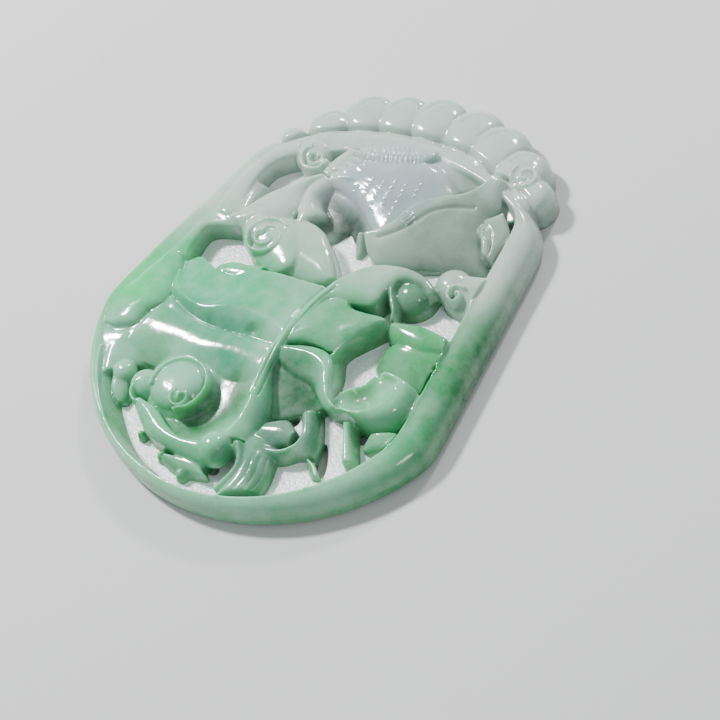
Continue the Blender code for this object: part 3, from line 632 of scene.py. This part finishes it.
class Brush:
    """Fine cuts pressed into the surface along lines that are read off the photograph."""

    def __init__(self, points):
        self.points = points
        self.seen = np.c_[points[:, 0] + MIDDLE[0] - LEAN[0] * (points[:, 2] - READ_HEIGHT),
                          points[:, 1] + MIDDLE[1] - LEAN[1] * (points[:, 2] - READ_HEIGHT)]
        self.free = points[:, 2] > CUT_FLOOR

    def line(self, route, width, depth):
        """Groove along a route; a negative depth raises a ridge."""
        run = smooth_run(route, max(len(route) * 8, 12))
        low = run.min(axis=0) - 3 * width
        high = run.max(axis=0) + 3 * width
        near = np.where(self.free & np.all(self.seen > low, axis=1)
                        & np.all(self.seen < high, axis=1))[0]
        if len(near) == 0:
            return
        places = self.seen[near]
        gap = np.full(len(near), 1e9)
        for a, b in zip(run[:-1], run[1:]):
            ab = b - a
            t = np.clip(((places - a) @ ab) / max(ab @ ab, 1e-9), 0, 1)
            gap = np.minimum(gap, np.linalg.norm(places - (a + t[:, None] * ab), axis=1))
        self.points[near, 2] -= depth * np.exp(-(gap / width) ** 2)

    def dent(self, x, y, radius, depth):
        """Round hollow; a negative depth raises a bead."""
        gap = np.hypot(self.seen[:, 0] - x, self.seen[:, 1] - y) / radius
        near = self.free & (gap < 1)
        self.points[near, 2] -= depth * (1 - gap[near] ** 2) ** 2


def fine_cuts(points):
    brush = Brush(points)
    rim_groove = [(-18.4, 17.6), (-15.5, 20.4), (-12, 22.5), (-8, 24), (-3, 25), (0, 25.3),
                  (5, 25.2), (8, 24.4), (10.6, 23.2), (13, 22.9), (16, 21.4), (19.2, 19.2)]
    brush.line(rim_groove, 0.28, 0.5)
    below_eye = RIM_HEIGHT - RIM_EDGE_DROP - READ_HEIGHT
    arris = inner_outline()[6:100:3] + np.array(MIDDLE) - np.array(LEAN) * below_eye
    for start in range(0, len(arris) - 4, 4):
        brush.line(arris[start:start + 5], 0.22, -0.2)
    for x in (-0.75, 0.15):
        brush.line([(x + 1.6, -14.5), (x + .5, -9), (x, -5), (x + .5, -1), (x + 1.4, 1.8)],
                   0.13, 0.22)
    brush.dent(12.9, -9.7, 2.5, 1.3)
    brush.line([(16, -7.4), (16.1, -8.8), (15.3, -10.6), (13.9, -11.8), (12, -12.2)], 0.3, -0.35)
    brush.dent(8.4, 1.2, .8, 1.6)
    brush.dent(15.4, 5.8, .45, .6)
    brush.dent(-4.4, -7.2, 1.2, .6)
    for x, y, radius in CREST_LOBES[:-1]:
        for share in (0.55, 0.8):
            arc = [(x - 0.3 + share * radius * math.cos(angle),
                    y + 0.9 + share * radius * math.sin(angle))
                   for angle in np.linspace(0.35 * math.pi, 0.95 * math.pi, 5)]
            brush.line(arc, 0.2, 0.14)
    brush.line([(10.8, 17.8), (8, 16.8), (6, 15.2), (5.2, 13.4), (3.8, 11.4), (2.4, 10)],
               0.3, 0.25)
    for k in range(4):
        brush.line([(3.2 + .5 * k, 13.2 - .1 * k), (3.6 + .5 * k, 14.3 - .1 * k)], 0.16, 0.2)
    for k in range(3):
        brush.line([(13.2 + .2 * k, 16.4 - .5 * k), (14.8 + .2 * k, 15.4 - .6 * k),
                    (15.8 + .2 * k, 13.6 - .5 * k)], 0.14, 0.22)
    for k in range(3):
        brush.line([(5.9 + k, -21.5), (6.6 + k, -24), (6.2 + 1.1 * k, -27 + .6 * k)], 0.2, 0.12)
    rows = ((-3.3, 17.2, 4), (-1.8, 17.4, 6), (-.4, 17.8, 5), (1.2, 17.8, 7), (2.8, 18.4, 3),
            (-4.6, 15.4, 2))
    for x, y, count in rows:
        for k in range(count):
            brush.dent(x + .12 * k, y - .85 * k, .26, -.14)


def carve():
    body = plate()
    pierce(body)
    for section in (crest, left_band, upper_left, comb, snail, left_leaves, fungus_scroll,
                    long_stem, centre_petals, pod, rockwork):
        section()
    join_forms(body)
    grain = FINE_GRAIN
    finish_step(body, 'REMESH', mode='VOXEL', voxel_size=grain * MM)
    finish_step(body, 'SMOOTH', factor=0.5, iterations=3)
    points = read_points(body)
    fine_cuts(points)
    points[:, 2] = np.where(points[:, 2] < 0.1, 0.0, points[:, 2])
    write_points(body, points)
    finish_step(body, 'SMOOTH', factor=0.4, iterations=1)
    share = FACES_KEPT / (2 * len(body.data.polygons))
    if share < 1:
        finish_step(body, 'DECIMATE', ratio=share)
    points = read_points(body)
    points[:, 2] = np.where(points[:, 2] < BED_HEIGHT, 0.0, points[:, 2])
    write_points(body, points)
    deselect_all()
    body.select_set(True)
    bpy.context.view_layer.objects.active = body
    bpy.ops.object.shade_smooth()
    return body


def as_seen(red, green, blue):
    """Linear colour of a shade given as it looks on a screen, 0 to 255."""
    return tuple(((c / 255 + 0.055) / 1.055) ** 2.4 if c > 10 else c / 255 / 12.92
                 for c in (red, green, blue)) + (1.0,)


def colour_patch_group():
    """Soft patch of colour round a place in the stone; some of these patches are painted shade."""
    group = bpy.data.node_groups.new("colour_and_shade_patch", 'ShaderNodeTree')
    for name, kind in (("Place", 'NodeSocketVector'), ("Centre", 'NodeSocketVector'),
                       ("Spread", 'NodeSocketVector'), ("Strength", 'NodeSocketFloat')):
        group.interface.new_socket(name, in_out='INPUT', socket_type=kind)
    group.interface.new_socket("Mask", in_out='OUTPUT', socket_type='NodeSocketFloat')
    nodes = group.nodes
    links = group.links
    inside = nodes.new('NodeGroupInput')
    outside = nodes.new('NodeGroupOutput')
    away = nodes.new('ShaderNodeVectorMath')
    away.operation = 'SUBTRACT'
    share = nodes.new('ShaderNodeVectorMath')
    share.operation = 'DIVIDE'
    reach = nodes.new('ShaderNodeVectorMath')
    reach.operation = 'LENGTH'
    soft = nodes.new('ShaderNodeMapRange')
    soft.interpolation_type = 'SMOOTHSTEP'
    soft.inputs["From Min"].default_value = 1.35
    soft.inputs["From Max"].default_value = 0.45
    times = nodes.new('ShaderNodeMath')
    times.operation = 'MULTIPLY'
    links.new(inside.outputs["Place"], away.inputs[0])
    links.new(inside.outputs["Centre"], away.inputs[1])
    links.new(away.outputs[0], share.inputs[0])
    links.new(inside.outputs["Spread"], share.inputs[1])
    links.new(share.outputs[0], reach.inputs[0])
    links.new(reach.outputs["Value"], soft.inputs["Value"])
    links.new(soft.outputs[0], times.inputs[0])
    links.new(inside.outputs["Strength"], times.inputs[1])
    links.new(times.outputs[0], outside.inputs["Mask"])
    return group


def mix_colour(nodes, links, mask, under, over, way='MIX'):
    mix = nodes.new('ShaderNodeMix')
    mix.data_type = 'RGBA'
    mix.blend_type = way
    links.new(mask, mix.inputs["Factor"])
    for socket, colour in ((mix.inputs[6], under), (mix.inputs[7], over)):
        if isinstance(colour, tuple):
            socket.default_value = colour
        else:
            links.new(colour, socket)
    return mix.outputs[2]


def noise(nodes, links, place, scale, detail, roughness=0.5):
    cloud = nodes.new('ShaderNodeTexNoise')
    cloud.inputs["Scale"].default_value = scale
    cloud.inputs["Detail"].default_value = detail
    cloud.inputs["Roughness"].default_value = roughness
    links.new(place, cloud.inputs["Vector"])
    return cloud


def graded(nodes, links, value, start, end, low=0.0, high=1.0, smooth=False):
    """Value carried from its range start to end into the range low to high."""
    step = nodes.new('ShaderNodeMapRange')
    if smooth:
        step.interpolation_type = 'SMOOTHSTEP'
    for name, number in (("From Min", start), ("From Max", end), ("To Min", low), ("To Max", high)):
        step.inputs[name].default_value = number
    links.new(value, step.inputs["Value"])
    return step.outputs[0]


def combined(nodes, links, way, one, other):
    """Two values multiplied, or the larger one; the second may be a plain number."""
    step = nodes.new('ShaderNodeMath')
    step.operation = way
    links.new(one, step.inputs[0])
    if isinstance(other, float):
        step.inputs[1].default_value = other
    else:
        links.new(other, step.inputs[1])
    return step.outputs[0]


def swayed(nodes, links, place):
    """Place shifted up to 4 mm by slow noise, so that patches of colour have cloudy edges."""
    cloud = noise(nodes, links, place, 110.0, 3.0)
    sway = nodes.new('ShaderNodeVectorMath')
    sway.operation = 'MULTIPLY_ADD'
    sway.inputs[1].default_value = (0.008, 0.008, 0.004)
    links.new(cloud.outputs["Color"], sway.inputs[0])
    links.new(place, sway.inputs[2])
    centred = nodes.new('ShaderNodeVectorMath')
    centred.operation = 'SUBTRACT'
    centred.inputs[1].default_value = (0.004, 0.004, 0.002)
    links.new(sway.outputs[0], centred.inputs[0])
    return centred.outputs[0]


def parts_of(nodes, links, vector):
    split = nodes.new('ShaderNodeSeparateXYZ')
    links.new(vector, split.inputs[0])
    return split.outputs


def jade():
    """Pale grey and mint stone with emerald patches, painted shade in its hollows and low on its
    right side, polished, its sunk ground frosted and whitened with a painted sheen.
    """
    stone = bpy.data.materials.new("jade_stone")
    stone.use_nodes = True
    nodes = stone.node_tree.nodes
    links = stone.node_tree.links
    shader = nodes["Principled BSDF"]
    spots = nodes.new('ShaderNodeTexCoord')
    place = spots.outputs["Object"]
    warped = swayed(nodes, links, place)
    level = parts_of(nodes, links, place)["Z"]

    along = graded(nodes, links, parts_of(nodes, links, warped)["Y"], -0.006, 0.010, smooth=True)
    colour = mix_colour(nodes, links, along, as_seen(88, 178, 126), as_seen(176, 192, 184))
    group = colour_patch_group()
    patches = (
        ((-21, -8, 4), (6, 6, 9), 0.95, (34, 194, 110)),
        ((-12, -5, 4), (8, 6, 9), 0.85, (60, 180, 124)),
        ((-6, -12, 3), (11, 5, 9), 0.9, (40, 152, 112)),
        ((-2.5, -19, 2.6), (5, 5.5, 3.4), 0.95, (8, 104, 50)),
        ((-13, -15, 2), (4, 3, 3.4), 0.8, (22, 140, 72)),
        ((6.5, -12, 2.2), (6, 4.5, 3.4), 0.95, (22, 104, 58)),
        ((8, -4, 4), (5, 4, 6), 0.8, (56, 154, 98)),
        ((12, 3, 3), (4, 4, 9), 0.85, (34, 122, 74)),
        ((17, -4, 2), (5, 6, 9), 0.9, (34, 156, 84)),
        # Painted shade: the green of the stone darkened low on the right side, where it turns away
        # from the light.
        ((23, -3, 1), (4.5, 12, 5), 0.95, (24, 124, 66)),
        ((14, -10, 4), (5, 4.5, 9), 0.85, (126, 196, 154)),
        ((9, -18, 3), (5, 4, 9), 0.8, (74, 116, 102)),
        ((8, -24, 3), (4, 4, 9), 0.75, (52, 116, 88)),
        ((0, -31, 4), (20, 5, 9), 0.75, (150, 206, 176)),
        ((-19, -21, 4), (6, 8, 9), 0.7, (140, 196, 170)),
        ((16, -22, 4), (7, 7, 9), 0.7, (140, 196, 162)),
        ((0, -10, 6), (3, 9, 3), 0.7, (138, 200, 166)),
        ((-8, -17, 6), (6, 5, 4), 0.85, (134, 196, 166)),
        ((1.6, -22, 5), (3, 3, 3), 0.8, (130, 200, 158)),
        ((10, 13, 3), (8, 7, 6), 0.8, (108, 136, 120)),
        ((1, 16, 4), (7, 6, 9), 0.6, (140, 156, 170)),
        # Painted shade: a dark patch in the deep hollow below the smooth field.
        ((-3, 10, 1.5), (5.5, 4, 3), 0.95, (52, 80, 68)),
        ((-23, 9, 4), (4, 9, 9), 0.6, (214, 228, 216)),
    )
    for centre, spread, strength, shade in patches:
        patch = nodes.new('ShaderNodeGroup')
        patch.node_tree = group
        links.new(warped, patch.inputs["Place"])
        patch.inputs["Centre"].default_value = tuple(c * MM for c in centre)
        patch.inputs["Spread"].default_value = tuple(c * MM for c in spread)
        patch.inputs["Strength"].default_value = strength
        colour = mix_colour(nodes, links, patch.outputs["Mask"], colour, as_seen(*shade))

    # Painted shade: low in the carving's hollows, between 4 mm and 1.8 mm height, the colour is
    # multiplied darker, greener in the lower part and greyer in the upper part.
    deep_shade = graded(nodes, links, level, 0.0040, 0.0018, high=0.8, smooth=True)
    deep_shade_colour = mix_colour(nodes, links, along, as_seen(136, 196, 160), as_seen(186, 200, 192))
    colour = mix_colour(nodes, links, deep_shade, colour, deep_shade_colour, 'MULTIPLY')
    grain = noise(nodes, links, place, 420.0, 4.0, 0.65)
    wisps = graded(nodes, links, grain.outputs["Fac"], 0.35, 0.70, high=0.16)
    colour = mix_colour(nodes, links, wisps, colour, as_seen(226, 236, 230))

    # The upward-facing sunk ground is made near white: partly its frosted finish, partly a painted
    # sheen of light on it.
    below = graded(nodes, links, level, 0.00150, 0.00132, smooth=True)
    above = graded(nodes, links, level, 0.00095, 0.00110)
    upward = parts_of(nodes, links, spots.outputs["Normal"])["Z"]
    facing_up = graded(nodes, links, upward, 0.6, 0.8)
    frost_and_sheen = combined(nodes, links, 'MULTIPLY', combined(nodes, links, 'MULTIPLY', below, above),
                     facing_up)
    colour = mix_colour(nodes, links, frost_and_sheen, colour, as_seen(240, 248, 244))
    links.new(colour, shader.inputs["Base Color"])
    dull = combined(nodes, links, 'MAXIMUM', frost_and_sheen, deep_shade)
    links.new(graded(nodes, links, dull, 0.0, 1.0, 0.13, 0.30), shader.inputs["Roughness"])

    grit = noise(nodes, links, place, 2200.0, 2.0).outputs["Fac"]
    coarse = combined(nodes, links, 'MULTIPLY', frost_and_sheen, 2.6)
    gritty = combined(nodes, links, 'MULTIPLY', grit, coarse)
    peel = noise(nodes, links, place, 700.0, 3.0)
    both = nodes.new('ShaderNodeMath')
    both.operation = 'MULTIPLY_ADD'
    both.inputs[1].default_value = 0.4
    links.new(peel.outputs["Fac"], both.inputs[0])
    links.new(gritty, both.inputs[2])
    bump = nodes.new('ShaderNodeBump')
    bump.inputs["Strength"].default_value = 0.6
    bump.inputs["Distance"].default_value = 0.00012
    links.new(both.outputs[0], bump.inputs["Height"])
    links.new(bump.outputs[0], shader.inputs["Normal"])

    shader.inputs["Subsurface Weight"].default_value = 0.75
    shader.inputs["Subsurface Radius"].default_value = (0.6, 1.3, 0.85)
    shader.inputs["Subsurface Scale"].default_value = 0.0011
    shader.inputs["IOR"].default_value = 1.62
    return stone


def floor():
    deselect_all()
    bpy.ops.mesh.primitive_plane_add(size=4.0, location=(0, 0, 0))
    ground = bpy.context.object
    ground.name = "floor"
    paint = bpy.data.materials.new("pale_floor")
    paint.use_nodes = True
    nodes = paint.node_tree.nodes
    links = paint.node_tree.links
    place = nodes.new('ShaderNodeTexCoord').outputs["Object"]
    mottle = nodes.new('ShaderNodeTexNoise')
    mottle.inputs["Scale"].default_value = 6.0
    links.new(place, mottle.inputs["Vector"])
    colour = mix_colour(nodes, links, mottle.outputs["Fac"], (0.62, 0.62, 0.61, 1.0),
                        (0.66, 0.66, 0.65, 1.0))
    links.new(colour, nodes["Principled BSDF"].inputs["Base Color"])
    nodes["Principled BSDF"].inputs["Roughness"].default_value = 0.8
    ground.data.materials.append(paint)


def camera():
    """Camera at the photograph's angle, from the turn and reach that fit its outline."""
    turn = Vector(CAMERA_TURN)
    to_camera = np.array(Quaternion(turn.normalized(), turn.length).to_matrix())
    place = -to_camera.T @ np.array(CAMERA_REACH)
    place = (place - np.array([0, CAMERA_MIDDLE, 0])) * CAMERA_UNIT
    place[:2] -= np.array(MIDDLE)
    lens = bpy.data.cameras.new("photo_camera")
    lens.sensor_width = 36.0
    lens.lens = CAMERA_FOCAL / PHOTO_SIZE * lens.sensor_width
    lens.clip_start = 0.005
    lens.clip_end = 20.0
    eye = bpy.data.objects.new("photo_camera", lens)
    turn_matrix = Matrix((to_camera.T @ np.diag([1, -1, -1])).tolist()).to_4x4()
    eye.matrix_world = Matrix.Translation(Vector(place) * MM) @ turn_matrix
    bpy.context.scene.collection.objects.link(eye)
    bpy.context.scene.camera = eye


def lamp(name, place, size, power, shade=(1, 1, 1)):
    light = bpy.data.lights.new(name, 'AREA')
    light.shape = 'DISK'
    light.size = size
    light.energy = power
    light.color = shade
    holder = bpy.data.objects.new(name, light)
    holder.location = place
    holder.rotation_euler = (-Vector(place)).to_track_quat('-Z', 'Y').to_euler()
    bpy.context.scene.collection.objects.link(holder)


def lights():
    lamp("key_lamp", (-0.29, 0.05, 0.36), 0.06, 3.4)
    lamp("crest_lamp", (-0.05, 0.42, 0.30), 0.06, 1.5)
    lamp("front_lamp", (0.42, -0.10, 0.40), 0.10, 0.35)
    world = bpy.data.worlds.new("soft_room")
    world.use_nodes = True
    world.node_tree.nodes["Background"].inputs["Color"].default_value = (0.9, 0.95, 1.0, 1.0)
    world.node_tree.nodes["Background"].inputs["Strength"].default_value = 0.55
    bpy.context.scene.world = world


camera()
carving = carve()
carving.data.materials.clear()
carving.data.materials.append(jade())
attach(carving, "root")
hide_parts("jade_plaque")
floor()
lights()
